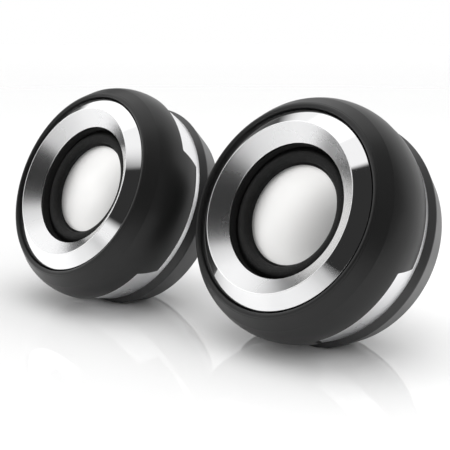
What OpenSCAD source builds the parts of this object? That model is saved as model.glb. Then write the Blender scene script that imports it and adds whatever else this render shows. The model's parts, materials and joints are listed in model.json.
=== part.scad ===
// A pair of small desktop speakers: a round, castellated two-part casing tipped back on a flat foot,
// with a chromed ring round a two-inch driver whose diaphragm is an aluminium dome.
// Every speaker is built about its own axis, with z = 0 at the ring's outer edge and +z out of the
// front, and is then tipped back and stood on the desk, which is z = 0. Both face -Y.

/* [Placement] */
// Upward tilt of each speaker's axis, in degrees
tilt = 24.4; // [22:0.2:26]
// Height of the chrome ring's centre above the desk
axis_height = 53.2; // [52.8:0.1:54]
// Distance between the two speakers across the desk
pair_spacing = 99.8; // [99:1:160]
// How far the left speaker stands ahead of the right one
pair_stagger = 16.6; // [0:0.2:30]
// Turn of the right casing's first front tab from the top, clockwise seen from the front
clock_right = 70.2; // [66:0.2:74]
// Turn of the left casing's first front tab from the top
clock_left = 94.6; // [90:0.2:99]

/* [Casing] */
// Inner radius of the rounded bead round the front
bead_in_r = 38.76; // [38.5:0.02:39]
// Outer radius of that bead
bead_out_r = 40.9; // [40.6:0.1:41.2]
// Radius of the crease between the front facet and the barrel
crease_r = 44.4; // [44:0.1:44.8]
// Depth of that crease behind the ring's edge
crease_depth = 4.04; // [3.6:0.1:4.6]
// Largest radius of the barrel
barrel_r = 47; // [46.6:0.1:47.4]
// Depth of the barrel's largest radius
barrel_depth = 14.3; // [13.8:0.1:14.8]
// Radius of the front tabs at their free ends
tab_end_r = 45; // [44.8:0.1:45.4]
// Depth of the tabs' free ends
tab_end_depth = 25.3; // [24.8:0.1:25.8]
// Half angle of a tab at its root
tab_root_half = 35.2; // [34:0.2:36]
// Half angle of a tab at its free end
tab_tip_half = 31; // [30:0.2:32]
// Thickness of the casing's walls
wall = 2.2; // [2:0.1:2.6]

/* [Accent band] */
// Radius of the band's front edge
band_front_r = 46.4; // [46:0.1:46.6]
// Depth of the band's front edge
band_front_depth = 15.5; // [15.2:0.1:16]
// Radius of the band's rear edge
band_rear_r = 44.1; // [43.8:0.1:44.4]
// Depth of the band's rear edge
band_rear_depth = 28.5; // [28.2:0.1:29]
// Thickness of the band
band_t = 1.3; // [1:0.1:1.5]
// Gap between the band and the tabs that reach into it
seam = 0.25; // [0.15:0.05:0.35]

/* [Rear casing] */
// Radius of the crease where the rear casing starts to taper
rear_crease_r = 45.8; // [45.4:0.1:46]
// Depth of that crease
rear_crease_depth = 31.5; // [31:0.1:32.5]
// Radius at the second crease
rear_taper_r = 42; // [41.4:0.1:42.4]
// Depth of the second crease
rear_taper_depth = 43.1; // [42.4:0.1:43.6]
// Radius of the rim round the back panel
back_rim_r = 29.2; // [28.8:0.1:29.8]
// Depth of the rim's rear face
back_depth = 55.2; // [54.8:0.1:55.8]

/* [Foot] */
// Width of the rubber foot across the speaker
foot_w = 26; // [22:1:27]
// Length of the foot from front to back
foot_l = 17; // [14:1:17]
// Distance of the foot's centre behind the ring's centre
foot_back = 18.4; // [18:0.2:18.8]
// Thickness of the foot
foot_t = 1.6; // [1.4:0.1:1.8]
// How far the foot stands out of the flat that it is set in
foot_proud = 0.6; // [0.5:0.1:0.8]

/* [Chrome ring] */
// Radius of the ring's outer edge
ring_r = 38; // [37.8:0.05:38.1]
// Radius of the ring's crest
crest_r = 32.46; // [32:0.1:33]
// Height of the crest in front of the ring's edge
crest_z = 3.35; // [3:0.05:3.6]
// Radius of the opening in front of the driver
bore_r = 25.8; // [25.7:0.05:26]
// Depth of the opening's edge
bore_depth = 1.8; // [1.6:0.1:2]

/* [Driver] */
// Radius of the aluminium dome
dome_r = 19.7; // [19.4:0.1:20]
// Depth of the dome's outer edge
dome_depth = 7.85; // [7.6:0.05:8]
// Height of the dome's middle above its edge
dome_rise = 2.4; // [1.8:0.1:3]
// Thickness of the dome's sheet
dome_t = 0.4; // [0.3:0.1:0.5]
// Depth of the front face of the driver's steel frame
frame_depth = 7; // [6.8:0.1:7.2]
// Thickness of the steel frame's flange
frame_t = 1.2; // [1:0.1:1.3]
// Radius of the frame's screw holes from the axis
frame_screw_r = 30.8; // [30.4:0.1:31]
// Radius of the magnet
magnet_r = 22.5; // [21:0.5:23]
// Thickness of the magnet
magnet_t = 8; // [7:0.5:8]
// Radius of the voice coil's tube, inside
coil_r = 10.05; // [10:0.05:10.1]

/* [Controls and sockets] */
// Bore radius of the 3.5 mm sockets
jack_bore_r = 1.8; // [1.78:0.01:1.82]
// Radius of the volume knob
knob_r = 7.5; // [6.5:0.5:7.5]
// Length of the volume knob
knob_h = 6; // [5:0.5:7]
// Travel of the power switch's slider
switch_travel = 2.6; // [2:0.1:3]

/* [Hidden] */

$fn = 96;
eps = 0.02;               // overlap that joins solids of one piece
touch = 0.05;             // clearance of a screw or a shaft in its hole
free_gap = 0.3;           // gap between parts that slide past each other
cut = 1;                  // overshoot of a cutter beyond the face that it opens
tab_count = 3;
tab_pitch = 360 / tab_count;
screw_count = 3;          // casing, panel and board screws, and the chrome ring's pegs
ear_count = 4;
charcoal = [0.2, 0.2, 0.2];
satin_silver = [0.82, 0.82, 0.83];
chrome = [0.9, 0.9, 0.92];
steel = [0.62, 0.63, 0.65];

// Arcs of the barrel before and behind its largest radius
barrel_front_arc = arc_radius(barrel_r - crease_r, barrel_depth - crease_depth);
barrel_rear_arc = arc_radius(barrel_r - tab_end_r, tab_end_depth - barrel_depth);
bead_arc = (bead_out_r - bead_in_r) / 2 + 0.03;
bead_c_r = (bead_in_r + bead_out_r) / 2 - 0.08;
bead_c_depth = 0.05;
bead_start = 154;         // ends of the bead's arc, in degrees
bead_end = 22;
facet_lip = 0.34;         // the front facet starts this far in front of the ring's edge
edge_break = 0.3;         // chamfer on the edges of the casing and the band

// Inside of the front casing's wall
barrel_in_depth = 13.5;
facet_in_r = crease_r - 1.4;
facet_in_depth = 7.6;
collar_r = 39.6;          // outside of the collar that the chrome ring sits in
collar_root = 4.7;        // depth at which the collar leaves the facet

// The skirt that the band is slipped over
skirt_front_r = band_front_r - band_t;
skirt_rear_r = band_rear_r - band_t;
skirt_t = 1.5;

// Levels of the front casing's inside
seat_depth = 1.6;         // where the chrome ring rests
groove_depth = 3;         // bottom of the dark groove round the ring
seat_out_r = 37.6;
seat_in_r = 35.2;
ring_peg_r = 1.4;         // pegs that hold the chrome ring
ring_peg_at = 33.4;
baffle_depth = 9;         // front face of the baffle
ring_peg_end = 11;
baffle_back = 12;
driver_hole_r = 25.6;
terminal_notch = [6.6, 11.2, 5];  // room for the driver's terminals
terminal_notch_r = 24;

// Screws that hold the two halves of the casing together
case_screw_r = 34.6;
case_screw_turn = 90;
case_split = 29.8;        // depth at which the screw bosses meet
case_head_depth = 36;     // depth of the face under the screw heads
case_head = [2.5, 1.8];   // radius and height of a screw's head
case_screw_l = 16;
case_thread_end = 17;     // depth at which the screws' holes end
boss_r = 3.2;
tower_r = 3.8;
well_r = 2.9;             // well that a screw's head is reached through
case_shank_r = 1.25;

// Rear casing
spigot_r = skirt_rear_r - skirt_t - 0.2;
spigot_t = 1.7;
spigot_front = 24.5;
rim_round = 0.4;          // how far the rear rim slopes over its length
rim_l = 1.7;
desk_cutter = [120, 160, 120];
foot_floor_t = 1.6;       // casing left above the foot

// Back panel
panel_r = 26.8;
panel_front = 52.8;
panel_back = 54.8;
panel_gap = 0.15;
ledge_in_r = 21.2;
ledge_t = 4;
panel_screw_r = 24.1;
panel_screw_turn = 90;
panel_shank_r = 0.9;
panel_hole_r = 1.2;
panel_head = [1.9, 1.2];
panel_screw_l = 5;
panel_thread = 3.6;       // depth of the panel screws' holes in the ledge

// Driver stack, as depths behind the ring's edge
frame_back = frame_depth + frame_t;
basket_floor = 19.4;
plate_t = 3;
magnet_front = basket_floor + plate_t;
magnet_back = magnet_front + magnet_t;
yoke_back = magnet_back + plate_t;
plate_r = 20;
magnet_in_r = 12.5;
pole_r = coil_r - free_gap - touch;
coil_wall = 0.25;
coil_front = 12.6;
coil_back = 23.6;
winding_front = 18.4;
winding_back = 23.4;
winding_r = coil_r + coil_wall + 0.4;
plate_bore_r = winding_r + free_gap;
flange_r = 28.6;
rubber_edge_r = 28.2;     // outer edge of the foam ring and of the surround
gasket_in_r = 25.9;
ear_turn = 45;
ear_r = 3;
ear_l = 4;
frame_hole_r = 1.3;
frame_shank_r = 1.05;
frame_head = [2.1, 1.4];
frame_screw_l = 4.6;
surround_out_r = 24.7;
surround_t = 0.4;
spider_depth = 14.8;
spider_out_r = 22.2;
cone_neck_front = 13.3;
cone_neck_back = 14;

// Terminals on the driver and the leads from them
terminal_turn = 60;
terminal_pitch = 5.2;
strip = [1.2, 10, 6.4];
strip_r = 25.5;
strip_depth = 17.6;       // depths of the rear faces of the strip, its lugs and its bracket
lug = [2.2, 1.8, 0.5];
lug_depth = 14.8;
strip_bracket = [2.3, 10, 4.4];
strip_bracket_depth = 15.6;
lead_pitch = 2.6;
lead_bend = 35.6;
lead_r = 0.55;
lead_lug_r = 28.2;        // radius of a lead's start, and of its run beside the magnet
lead_run_r = 26.4;

// Amplifier board
board_r = 20.5;
board_front = 39.6;
board_back = 41.2;
post_r = 18;
post_turn = 30;
post_out_r = 2.4;
post_bore = 5;            // depth of the posts' screw holes
board_hole_r = 1.1;
board_shank_r = 0.95;
board_screw_l = 5.4;
chip = [6, 5];
chip_t = 1.8;
capacitor_r = 3.1;
capacitor_l = 8;
capacitor_at = 8.2;
header = [6, 3];
header_at = [7.5, 13];
header_t = 2.6;
pot_at = [0, 11];
usb_at = [14.5, 2];
switch_at = [-14.5, 1];
audio_in_at = [-7, -11];
link_out_at = [7, -11];
link_in_at = [0, -8];
lead_end_right = [header_at[0], header_at[1], board_front - header_t];
lead_end_left = [link_in_at[0], link_in_at[1], board_back];
jack_w = 8;
jack_collar_r = 3;
jack_hole_r = 3.1;
jack_back = 55.4;
jack_blind = 42.2;
usb_shell = [2.9, 7.9];
usb_bore = [2.1, 7.1];
usb_hole = [3.3, 8.3];
usb_blind = 6;
pot_w = 9.4;
pot_t = 6.5;
pot_collar_r = 4.1;
pot_hole_r = 4.3;
shaft_r = 2.95;
shaft_front = board_back + 4;
knob_front = 55.6;
knob_back = knob_front + knob_h;
knob_face = 1.2;          // thickness of the knob's face over its shaft
flute_count = 24;
flute_r = 0.6;
switch_case = [5, 9.4];
switch_hole = [3, 6.4];
switch_well = [2.6, 6.2];
slider = [2, 3];

function arc_radius(fall, run) = (fall * fall + run * run) / (2 * fall);
function arc(c_r, c_z, radius, a0, a1, steps) =
  [for (i = [0:steps]) let (a = a0 + (a1 - a0) * i / steps) [c_r + radius * cos(a), c_z + radius * sin(a)]];
function barrel_rear_at(depth) = barrel_r - barrel_rear_arc
  + sqrt(pow(barrel_rear_arc, 2) - pow(depth - barrel_depth, 2));
function skirt_at(depth) = skirt_front_r
  + (skirt_rear_r - skirt_front_r) * (depth - band_front_depth) / (band_rear_depth - band_front_depth);
function band_at(depth) = skirt_at(depth) + band_t;

// Stands a speaker on the desk
module stand(x, y) {
  translate([x, y - foot_back, axis_height]) rotate([90 - tilt, 0, 0]) children();
}

module at_right() {
  stand(0, 0) children();
}

module at_left() {
  stand(-pair_spacing, -pair_stagger) children();
}

// The desk's own frame, seen from the speaker's: z = 0 is the desk, y = 0 is below the ring's centre
module desk_frame() {
  rotate([tilt - 90, 0, 0]) translate([0, 0, -axis_height]) children();
}

module ring_of(count, radius, turn) {
  for (i = [0:count - 1]) rotate([0, 0, turn + i * 360 / count]) translate([radius, 0, 0]) children();
}

module rod(radius, front, back) {
  translate([0, 0, -back]) cylinder(r = radius, h = back - front);
}

module tube(out_r, in_r, front, back) {
  difference() {
    rod(out_r, front, back);
    rod(in_r, front - cut, back + cut);
  }
}

module block(size, front, back) {
  translate([-size[0] / 2, -size[1] / 2, -back]) cube([size[0], size[1], back - front]);
}

// Casing ---------------------------------------------------------------------------------------

// One slanted-sided tab of the front casing, or the gap for it when grown
module tab(points, grow) {
  mid_half = (tab_root_half + tab_tip_half) / 2;
  run = tab_end_depth - band_front_depth;
  slant = atan((tab_root_half - tab_tip_half) * PI / 180 * band_front_r / run);
  sweep = tab_root_half + 5;
  cutter = [25, 15, 40];
  cutter_r = 30;
  difference() {
    rotate([0, 0, -sweep]) rotate_extrude(angle = 2 * sweep) polygon(points);
    for (side = [-1, 1]) {
      rotate([0, 0, side * mid_half])
        translate([0, side * grow, -(tab_end_depth + band_front_depth) / 2])
        rotate([-side * slant, 0, 0])
        translate([cutter_r, side > 0 ? 0 : -cutter[1], -cutter[2] / 2]) cube(cutter);
    }
  }
}

module front_shell(clock) {
  arc_end = asin((tab_end_depth - barrel_depth) / barrel_rear_arc);
  // the tabs stand proud of the barrel by eps, so that their faces cross the barrel's cleanly
  proud_arc = barrel_rear_arc + eps;
  root_depth = band_front_depth - 0.5;
  root_slope = 0.1;
  outer = concat(
    arc(bead_c_r, -bead_c_depth, bead_arc, bead_start, bead_end, 6),
    [[bead_out_r, facet_lip]],
    arc(barrel_r - barrel_front_arc, -barrel_depth, barrel_front_arc,
      asin((barrel_depth - crease_depth) / barrel_front_arc), 0, 7),
    [[barrel_rear_at(band_front_depth - edge_break), edge_break - band_front_depth],
      [barrel_rear_at(band_front_depth) - seam, -band_front_depth],
      [skirt_front_r, -band_front_depth],
      [skirt_rear_r, -band_rear_depth]]);
  inner = [[skirt_rear_r - skirt_t, -band_rear_depth],
    [skirt_front_r - skirt_t, -band_front_depth],
    [crease_r, -barrel_in_depth],
    [facet_in_r, -facet_in_depth],
    [bead_out_r, -collar_root],
    [collar_r, -collar_root],
    [collar_r, -baffle_back],
    [driver_hole_r, -baffle_back],
    [driver_hole_r, -baffle_depth],
    [seat_in_r, -baffle_depth],
    [seat_in_r, -seat_depth],
    [seat_out_r, -seat_depth],
    [seat_out_r, -groove_depth],
    [bead_in_r, -groove_depth]];
  tab_section = concat(
    [[barrel_r - 2 * edge_break, root_slope - root_depth]],
    arc(barrel_r - barrel_rear_arc, -barrel_depth, proud_arc,
      -asin((root_depth - barrel_depth) / proud_arc), -arc_end, 5),
    [[skirt_at(tab_end_depth) - eps, -tab_end_depth],
      [skirt_at(band_front_depth) - eps, eps - band_front_depth]]);
  color(charcoal) difference() {
    union() {
      rotate_extrude() polygon(concat(outer, inner));
      for (i = [0:tab_count - 1]) rotate([0, 0, 90 - clock - i * tab_pitch]) tab(tab_section, 0);
      ring_of(screw_count, case_screw_r, case_screw_turn) rod(boss_r, baffle_back - eps, case_split);
    }
    ring_of(screw_count, case_screw_r, case_screw_turn)
      rod(case_shank_r + touch, case_thread_end, case_split + cut);
    ring_of(screw_count, ring_peg_at, 0) rod(ring_peg_r + touch, baffle_depth - cut, ring_peg_end + 0.2);
    ring_of(ear_count, frame_screw_r, ear_turn)
      rod(frame_shank_r + touch, baffle_depth - cut, baffle_back + cut);
    rotate([0, 0, terminal_turn])
      translate([terminal_notch_r, -terminal_notch[1] / 2, -baffle_back - cut]) cube(terminal_notch);
  }
}

module accent_band(clock) {
  lead = band_front_depth + seam;
  room = 3;
  tab_room = [[skirt_rear_r - room, room - band_front_depth], [barrel_r + room, room - band_front_depth],
    [barrel_r + room, -tab_end_depth - seam], [skirt_rear_r - room, -tab_end_depth - seam]];
  color(satin_silver) difference() {
    rotate_extrude() polygon([[skirt_at(lead), -lead],
      [band_at(lead) - edge_break, -lead],
      [band_at(lead + edge_break), -lead - edge_break],
      [band_at(band_rear_depth - edge_break), edge_break - band_rear_depth],
      [band_rear_r - edge_break, -band_rear_depth],
      [skirt_rear_r, -band_rear_depth]]);
    for (i = [0:tab_count - 1]) rotate([0, 0, 90 - clock - i * tab_pitch]) tab(tab_room, seam);
  }
}

// Half section of the rear casing's outline, from the split back to the rim
module rear_outline() {
  polygon([[0, -band_rear_depth - seam],
    [band_rear_r - 0.2, -band_rear_depth - seam],
    [rear_crease_r, -rear_crease_depth],
    [rear_taper_r, -rear_taper_depth],
    [back_rim_r + rim_round, rim_l - back_depth],
    [back_rim_r - rim_round, -back_depth],
    [0, -back_depth]]);
}

module rear_shell() {
  hollow_front = band_rear_depth - 1;
  color([0.26, 0.26, 0.26]) difference() {
    union() {
      difference() {
        rotate_extrude() rear_outline();
        // hollow, with a flat floor over the foot
        intersection() {
          rotate_extrude() polygon([[0, -hollow_front],
            [spigot_r - spigot_t, -hollow_front],
            [spigot_r - spigot_t, 0.8 - rear_crease_depth],
            [rear_crease_r - wall - 0.4, -rear_crease_depth - 0.6],
            [rear_taper_r - wall, wall / 2 - rear_taper_depth],
            [back_rim_r + wall, ledge_t - panel_front],
            [0, ledge_t - panel_front]]);
          desk_block(foot_t + foot_floor_t);
        }
      }
      tube(spigot_r, spigot_r - spigot_t, spigot_front, band_rear_depth + seam + eps);
      intersection() {
        ring_of(screw_count, case_screw_r, case_screw_turn) rod(tower_r, case_split, back_depth);
        rotate_extrude() rear_outline();
      }
    }
    // the flat that the foot is set in, and its pocket
    desk_block(foot_proud - desk_cutter[2]);
    desk_frame() translate([0, foot_back, foot_proud - cut]) foot_plate(foot_t - foot_proud + cut, 2 * touch);
    rod(ledge_in_r, panel_front - ledge_t - cut, back_depth + cut);
    rod(panel_r + panel_gap, panel_front, back_depth + cut);
    ring_of(screw_count, case_screw_r, case_screw_turn)
      rod(case_shank_r + 5 * touch, case_split - cut, case_head_depth + cut);
    ring_of(screw_count, case_screw_r, case_screw_turn) rod(well_r, case_head_depth, back_depth + cut);
    ring_of(screw_count, panel_screw_r, panel_screw_turn)
      rod(panel_shank_r + touch, panel_front - panel_thread, panel_front + cut);
  }
}

// Everything from a height above the desk up to the cutter's height over it
module desk_block(level) {
  desk_frame() translate([-desk_cutter[0] / 2, -desk_cutter[1] / 2 + foot_back, level]) cube(desk_cutter);
}

module foot_plate(h, grow) {
  corner = 5;
  w = foot_w / 2 - corner;
  l = foot_l / 2 - corner;
  linear_extrude(height = h) union() {
    square([2 * w, foot_l + 2 * grow], center = true);
    square([foot_w + 2 * grow, 2 * l], center = true);
    for (x = [-w, w], y = [-l, l]) translate([x, y]) circle(r = corner + grow);
  }
}

module foot_pad() {
  color([0.1, 0.1, 0.1]) desk_frame() translate([0, foot_back, 0]) foot_plate(foot_t, 0);
}

module back_panel(left) {
  color(charcoal) difference() {
    union() {
      rod(panel_r, panel_front, panel_back);
      if (!left) ring_of(screw_count, post_r, post_turn) rod(post_out_r, board_back, panel_front + eps);
    }
    ring_of(screw_count, panel_screw_r, panel_screw_turn)
      rod(panel_hole_r, panel_front - cut, panel_back + cut);
    if (left) {
      at(link_in_at) rod(jack_hole_r, panel_front - cut, panel_back + cut);
    } else {
      ring_of(screw_count, post_r, post_turn)
        rod(board_shank_r + touch, board_back - cut, board_back + post_bore);
      at(audio_in_at) rod(jack_hole_r, panel_front - cut, panel_back + cut);
      at(link_out_at) rod(jack_hole_r, panel_front - cut, panel_back + cut);
      at(pot_at) rod(pot_hole_r, panel_front - cut, panel_back + cut);
      at(usb_at) block(usb_hole, panel_front - cut, panel_back + cut);
      at(switch_at) block(switch_hole, panel_front - cut, panel_back + cut);
    }
  }
}

module at(place) {
  translate([place[0], place[1], 0]) children();
}

// A cross-head screw whose head rests on a face: driven from the front (way = 1) or from behind (-1)
module screw(head, shank_r, face, length, way) {
  slot_w = 0.6;
  slot_t = 0.7;
  head_end = face - way * head[1];
  tip = face + way * length;
  slot_end = head_end + way * slot_t;
  difference() {
    union() {
      rod(head[0], min(face, head_end), max(face, head_end));
      rod(shank_r, min(face - way * eps, tip), max(face - way * eps, tip));
    }
    for (turn = [0, 90]) rotate([0, 0, turn])
      block([head[0] * 1.3, slot_w], min(head_end - way, slot_end), max(head_end - way, slot_end));
  }
}

module case_screws() {
  color(steel) ring_of(screw_count, case_screw_r, case_screw_turn)
    screw(case_head, case_shank_r, case_head_depth, case_screw_l, -1);
}

module panel_screws() {
  color(steel) ring_of(screw_count, panel_screw_r, panel_screw_turn)
    screw(panel_head, panel_shank_r, panel_back, panel_screw_l, -1);
}

// Chrome ring ----------------------------------------------------------------------------------

module trim_ring() {
  lip_t = 1.2;
  lip_w = 1.4;
  crown = 0.3;
  color(chrome) {
    rotate_extrude() polygon([[ring_r, 0],
      [crest_r + crown, crest_z - 0.17],
      [crest_r, crest_z],
      [crest_r - crown, crest_z - 0.2],
      [bore_r, -bore_depth],
      [bore_r, -bore_depth - lip_t],
      [bore_r + lip_w, -bore_depth - lip_t],
      [crest_r, crest_z - wall],
      [seat_out_r - 2 * crown, -seat_depth],
      [ring_r, -seat_depth]]);
    ring_of(screw_count, ring_peg_at, 0) rod(ring_peg_r, -lip_t, ring_peg_end);
  }
}

// Driver ---------------------------------------------------------------------------------------

module flange_outline(hole_r, depth, thickness) {
  difference() {
    union() {
      rod(flange_r, depth, depth + thickness);
      ring_of(ear_count, frame_screw_r, ear_turn) {
        translate([-ear_l, -ear_r, -depth - thickness]) cube([ear_l, 2 * ear_r, thickness]);
        rod(ear_r, depth, depth + thickness);
      }
    }
    rod(hole_r, depth - cut, depth + thickness + cut);
    ring_of(ear_count, frame_screw_r, ear_turn) rod(frame_hole_r, depth - cut, depth + thickness + cut);
  }
}

module driver_frame() {
  rim_r = 24.4;
  floor_r = 21.4;
  floor_hole_r = 12;
  ledge_r = 20.2;
  sheet = 0.9;
  window = [10, 14, 4];
  window_at = [19, -7, -14];
  color([0.3, 0.3, 0.31]) difference() {
    union() {
      flange_outline(rim_r, frame_depth, frame_t);
      rotate_extrude() polygon([[rim_r, -frame_back + 0.4],
        [rim_r + sheet, -frame_back + 0.4],
        [floor_r + sheet, -basket_floor],
        [floor_hole_r, -basket_floor],
        [floor_hole_r, sheet - basket_floor],
        [floor_r, sheet - basket_floor],
        [floor_r + sheet, -spider_depth - 0.8],
        [ledge_r, -spider_depth - 0.8],
        [ledge_r, -spider_depth],
        [floor_r + 1.1, -spider_depth],
        [rim_r, -frame_back - 0.2]]);
      rotate([0, 0, terminal_turn])
        translate([strip_r - strip_bracket[0], -strip_bracket[1] / 2, -strip_bracket_depth])
        cube(strip_bracket);
    }
    for (a = [0, 90, 180, 270]) rotate([0, 0, a]) translate(window_at) cube(window);
  }
}

module frame_gasket() {
  color([0.12, 0.12, 0.12]) flange_outline(gasket_in_r, frame_back, baffle_depth - frame_back);
}

module foam_ring() {
  color([0.08, 0.08, 0.08]) tube(rubber_edge_r, bore_r + 0.1, bore_depth + 1.2, frame_depth - surround_t);
}

module dome() {
  radius = (dome_r * dome_r + dome_rise * dome_rise) / (2 * dome_rise);
  half = asin(dome_r / radius);
  color([0.8, 0.8, 0.8]) rotate_extrude() polygon(concat(
    arc(0, dome_rise - dome_depth - radius, radius, 90, 90 - half, 8),
    [[dome_r, -dome_depth - dome_t], [dome_r - 0.9, -dome_depth - dome_t]],
    arc(0, dome_rise - dome_depth - radius - dome_t, radius, 90 - half + 2, 90, 8)));
}

module cone() {
  glue = dome_depth + dome_t + surround_t;
  neck_r = coil_r + coil_wall;
  paper = 0.5;
  color([0.15, 0.15, 0.15]) rotate_extrude() polygon([[dome_r - 0.2, -glue],
    [dome_r - 1.6, -glue],
    [neck_r, -cone_neck_front],
    [neck_r, -cone_neck_back],
    [neck_r + paper, -cone_neck_back],
    [neck_r + 0.6, -cone_neck_front - 0.1],
    [dome_r - 0.4, -glue - paper],
    [dome_r - 0.2, -glue - paper]]);
}

module surround() {
  out_r = surround_out_r;
  in_r = dome_r + 0.5;
  roll_r = (out_r - in_r) / 2;
  mid_r = (out_r + in_r) / 2;
  sheet = surround_t;
  inner_top = dome_depth + dome_t;
  color([0.06, 0.06, 0.06]) rotate_extrude() polygon(concat(
    [[rubber_edge_r, -frame_depth], [rubber_edge_r, sheet - frame_depth]],
    arc(mid_r, sheet - frame_depth, roll_r, 0, 180, 12),
    [[in_r, -inner_top], [dome_r - 1.2, -inner_top], [dome_r - 1.2, -inner_top - sheet],
      [in_r + sheet, -inner_top - sheet]],
    arc(mid_r, sheet - frame_depth, roll_r - sheet, 180, 4, 12),
    [[out_r - sheet, -frame_depth]]));
}

module voice_coil() {
  color([0.72, 0.42, 0.2]) {
    tube(coil_r + coil_wall, coil_r, coil_front, coil_back);
    tube(winding_r, coil_r + coil_wall - eps, winding_front, winding_back);
  }
}

module spider() {
  in_r = coil_r + coil_wall + touch;
  out_r = spider_out_r;
  waves = 4;
  sheet = 0.35;
  steps = 24;
  height = 0.5;
  level = sheet - spider_depth;
  flat = 1.2;
  span = out_r - in_r - 3 * flat;
  top = [for (i = [0:steps]) [in_r + flat + span * i / steps, level + height * sin(360 * waves * i / steps)]];
  bottom = [for (i = [steps:-1:0]) [top[i][0], top[i][1] - sheet]];
  color([0.78, 0.66, 0.36]) rotate_extrude() polygon(concat(
    [[in_r, level - sheet], [in_r, level]], top,
    [[out_r, level], [out_r, level - sheet]], bottom));
}

module top_plate() {
  color(steel) tube(plate_r, plate_bore_r, basket_floor, magnet_front);
}

module magnet() {
  color([0.22, 0.22, 0.24]) tube(magnet_r, magnet_in_r, magnet_front, magnet_back);
}

module pole_yoke() {
  color(steel) {
    rod(plate_r, magnet_back, yoke_back);
    rod(pole_r, basket_floor, magnet_back + eps);
  }
}

module driver_screws() {
  color(steel) ring_of(ear_count, frame_screw_r, ear_turn)
    screw(frame_head, frame_shank_r, frame_depth, frame_screw_l, 1);
}

module terminal_strip() {
  color([0.45, 0.3, 0.15]) rotate([0, 0, terminal_turn]) {
    translate([strip_r, -strip[1] / 2, -strip_depth]) cube(strip);
    for (side = [-1, 1])
      translate([strip_r + strip[0] - eps, (side * terminal_pitch - lug[1]) / 2, -lug_depth]) cube(lug);
  }
}

// A round wire swept along a route, where aside is square to the route's plane
module wire(route, radius, aside) {
  sides = 8;
  last = len(route) - 1;
  rings = [for (i = [0:last])
    let (along = route[min(i + 1, last)] - route[max(i - 1, 0)], u = unit(cross(along, aside)),
      v = unit(cross(along, u)))
    for (k = [0:sides - 1]) route[i] + radius * (u * cos(360 * k / sides) + v * sin(360 * k / sides))];
  skin = [for (i = [0:last - 1], k = [0:sides - 1])
    [i * sides + k, i * sides + (k + 1) % sides, (i + 1) * sides + (k + 1) % sides, (i + 1) * sides + k]];
  polyhedron(points = rings, faces = concat(skin,
    [[for (k = [sides - 1:-1:0]) k], [for (k = [0:sides - 1]) last * sides + k]]));
}

// The pair of wires from the driver's terminals to a place on the sockets' side
module driver_leads(end) {
  aside = [-sin(terminal_turn), cos(terminal_turn), 0];
  for (side = [-1, 1]) color(side > 0 ? [0.6, 0.1, 0.1] : [0.1, 0.1, 0.1]) {
    start = beside_terminal(lead_lug_r, side * terminal_pitch / 2);
    run = beside_terminal(lead_run_r, side * terminal_pitch / 2);
    goal = [end[0] - side * lead_pitch / 2, end[1]];
    wire([[start[0], start[1], -lug_depth - 0.1],
      [run[0], run[1], 2 - lead_bend],
      lead_point(run, goal, 0.06, lead_bend - 0.5),
      lead_point(run, goal, 0.2, lead_bend),
      lead_point(run, goal, 0.88, lead_bend),
      lead_point(run, goal, 0.97, lead_bend + 0.3),
      lead_point(run, goal, 1, lead_bend + 0.9),
      lead_point(run, goal, 1, end[2])], lead_r, aside);
  }
}

function unit(v) = v / norm(v);
function lead_point(from, to, share, depth) = [from[0] + share * (to[0] - from[0]),
  from[1] + share * (to[1] - from[1]), -depth];
function beside_terminal(radius, side) = [radius * cos(terminal_turn) - side * sin(terminal_turn),
  radius * sin(terminal_turn) + side * cos(terminal_turn)];

// Electronics ----------------------------------------------------------------------------------

module jack(place) {
  color([0.14, 0.14, 0.15]) at(place) difference() {
    union() {
      block([jack_w, jack_w], board_back, panel_front);
      rod(jack_collar_r, panel_front - eps, jack_back);
    }
    rod(jack_bore_r, jack_blind, jack_back + cut);
  }
}

module usb_power_socket() {
  color(steel) at(usb_at) difference() {
    block(usb_shell, board_back, back_depth);
    block(usb_bore, back_depth - usb_blind, back_depth + cut);
  }
}

module amp_board() {
  color([0.05, 0.3, 0.16]) difference() {
    rod(board_r, board_front, board_back);
    ring_of(screw_count, post_r, post_turn) rod(board_hole_r, board_front - cut, board_back + cut);
  }
}

module board_screws() {
  color(steel) ring_of(screw_count, post_r, post_turn)
    screw(panel_head, board_shank_r, board_front, board_screw_l, 1);
}

module amp_chip() {
  color([0.08, 0.08, 0.08]) block(chip, board_back, board_back + chip_t);
}

module capacitors() {
  color([0.12, 0.14, 0.3]) for (side = [-1, 1])
    at([side * capacitor_at, 0]) rod(capacitor_r, board_back, board_back + capacitor_l);
}

module lead_header() {
  color([0.9, 0.88, 0.8]) at(header_at) block(header, board_front - header_t, board_front);
}

module volume_pot() {
  color([0.3, 0.3, 0.32]) at(pot_at) difference() {
    union() {
      block([pot_w, pot_w], board_back, board_back + pot_t);
      rod(pot_collar_r, board_back + pot_t - eps, panel_back + 0.4);
    }
    rod(shaft_r + touch, shaft_front, panel_back + cut);
  }
}

module volume_shaft() {
  color(steel) at(pot_at) rod(shaft_r, shaft_front + free_gap, knob_back - knob_face);
}

module volume_knob() {
  color([0.16, 0.16, 0.16]) at(pot_at) difference() {
    rod(knob_r, knob_front, knob_back);
    rod(shaft_r + touch, knob_front - cut, knob_back - knob_face + touch);
    // dimple that shows where the knob points, and the flutes round it
    translate([0, knob_r - 2 * flute_r, 0]) rod(flute_r, knob_back - 0.4, knob_back + cut);
    ring_of(flute_count, knob_r + 0.35, 0) rod(flute_r, knob_front + 1, knob_back + cut);
  }
}

module switch_housing() {
  color([0.35, 0.35, 0.36]) at(switch_at) difference() {
    block(switch_case, panel_front - 5, panel_front);
    block(switch_well, panel_front - 3.4, panel_front + cut);
  }
}

module switch_slider() {
  color([0.12, 0.12, 0.12]) at([switch_at[0], switch_at[1] - switch_travel / 2])
    block(slider, panel_front - 3.1, panel_back + 1.6);
}

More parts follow.
